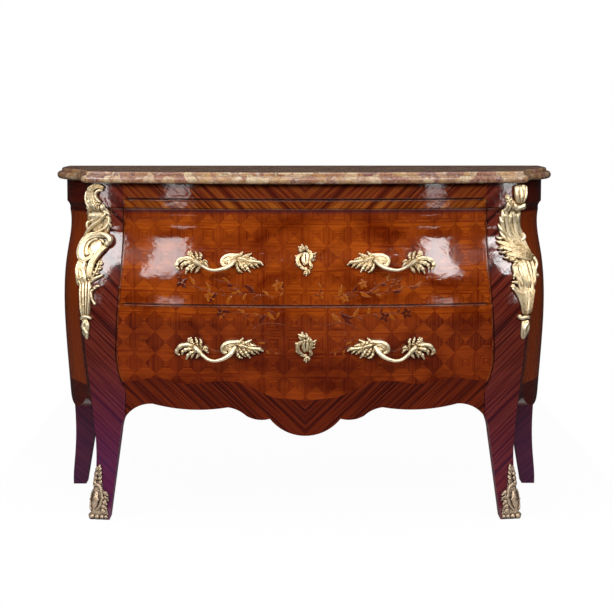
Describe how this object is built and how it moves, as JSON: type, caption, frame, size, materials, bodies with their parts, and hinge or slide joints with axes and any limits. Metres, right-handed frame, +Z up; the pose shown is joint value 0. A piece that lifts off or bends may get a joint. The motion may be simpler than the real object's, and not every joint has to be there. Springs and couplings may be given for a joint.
{
  "type": "commode chest",
  "caption": "Bombe commode chest on cabriole legs with a shaped apron, drawers behind bowed fronts, a moulded marble top and gilt-bronze handles, corner mounts and sabots.",
  "frame": {"origin": "on the floor, at the middle of the chest's width and depth", "axes": "+X along the width to the right seen from the front, +Y to the back, +Z up; the drawers pull out along -Y"},
  "size_m": [1.308, 0.6121, 0.87],
  "materials": {
    "marble": "polished brecciated marble",
    "veneered_wood": "kingwood and tulipwood veneer, French polished",
    "carcass_wood": "planed oak, bare",
    "gilt_bronze": "cast, chased and gilded",
    "fixing_brass": "turned brass",
    "lock_steel": "filed steel"
  },
  "bodies": {
    "carcass": {"marble_top": "marble", "frieze_rail": "veneered_wood", "top_board": "carcass_wood", "dust_board": "carcass_wood", "bottom_board": "carcass_wood", "back_top_rail": "carcass_wood", "back_bottom_rail": "carcass_wood", "back_muntin": "carcass_wood", "mount_pins": "fixing_brass", "left_front_post": "veneered_wood", "right_front_post": "veneered_wood", "left_rear_post": "veneered_wood", "right_rear_post": "veneered_wood", "left_side_panel": "veneered_wood", "right_side_panel": "veneered_wood", "left_back_panel": "carcass_wood", "right_back_panel": "carcass_wood", "left_kicker": "carcass_wood", "right_kicker": "carcass_wood", "left_upper_guide": "carcass_wood", "right_upper_guide": "carcass_wood", "left_lower_guide": "carcass_wood", "right_lower_guide": "carcass_wood", "left_chute": "gilt_bronze", "right_chute": "gilt_bronze", "left_sabot": "gilt_bronze", "right_sabot": "gilt_bronze"},
    "upper_drawer": {"upper_drawer_front": "veneered_wood", "upper_drawer_left_side": "carcass_wood", "upper_drawer_right_side": "carcass_wood", "upper_drawer_back": "carcass_wood", "upper_drawer_bottom": "carcass_wood", "upper_left_handle": "gilt_bronze", "upper_right_handle": "gilt_bronze", "upper_handle_bolts": "fixing_brass", "upper_handle_nuts": "fixing_brass", "upper_escutcheon": "gilt_bronze", "upper_escutcheon_pins": "fixing_brass", "upper_lock_case": "lock_steel", "upper_lock_screws": "lock_steel"},
    "lower_drawer": {"lower_drawer_front": "veneered_wood", "lower_drawer_left_side": "carcass_wood", "lower_drawer_right_side": "carcass_wood", "lower_drawer_back": "carcass_wood", "lower_drawer_bottom": "carcass_wood", "lower_left_handle": "gilt_bronze", "lower_right_handle": "gilt_bronze", "lower_handle_bolts": "fixing_brass", "lower_handle_nuts": "fixing_brass", "lower_escutcheon": "gilt_bronze", "lower_escutcheon_pins": "fixing_brass", "lower_lock_case": "lock_steel", "lower_lock_screws": "lock_steel"},
    "upper_bolt": {"upper_lock_bolt": "lock_steel"},
    "lower_bolt": {"lower_lock_bolt": "lock_steel"}
  },
  "joints": [
    {"name": "upper_drawer_slide", "type": "slide", "parent": "carcass", "child": "upper_drawer", "axis": [0, -1, 0], "range_m": [0, 0.36]},
    {"name": "lower_drawer_slide", "type": "slide", "parent": "carcass", "child": "lower_drawer", "axis": [0, -1, 0], "range_m": [0, 0.36]},
    {"name": "upper_bolt_slide", "type": "slide", "parent": "upper_drawer", "child": "upper_bolt", "axis": [0, 0, 1], "range_m": [0, 0.012]},
    {"name": "lower_bolt_slide", "type": "slide", "parent": "lower_drawer", "child": "lower_bolt", "axis": [0, 0, 1], "range_m": [0, 0.012]}
  ]
}
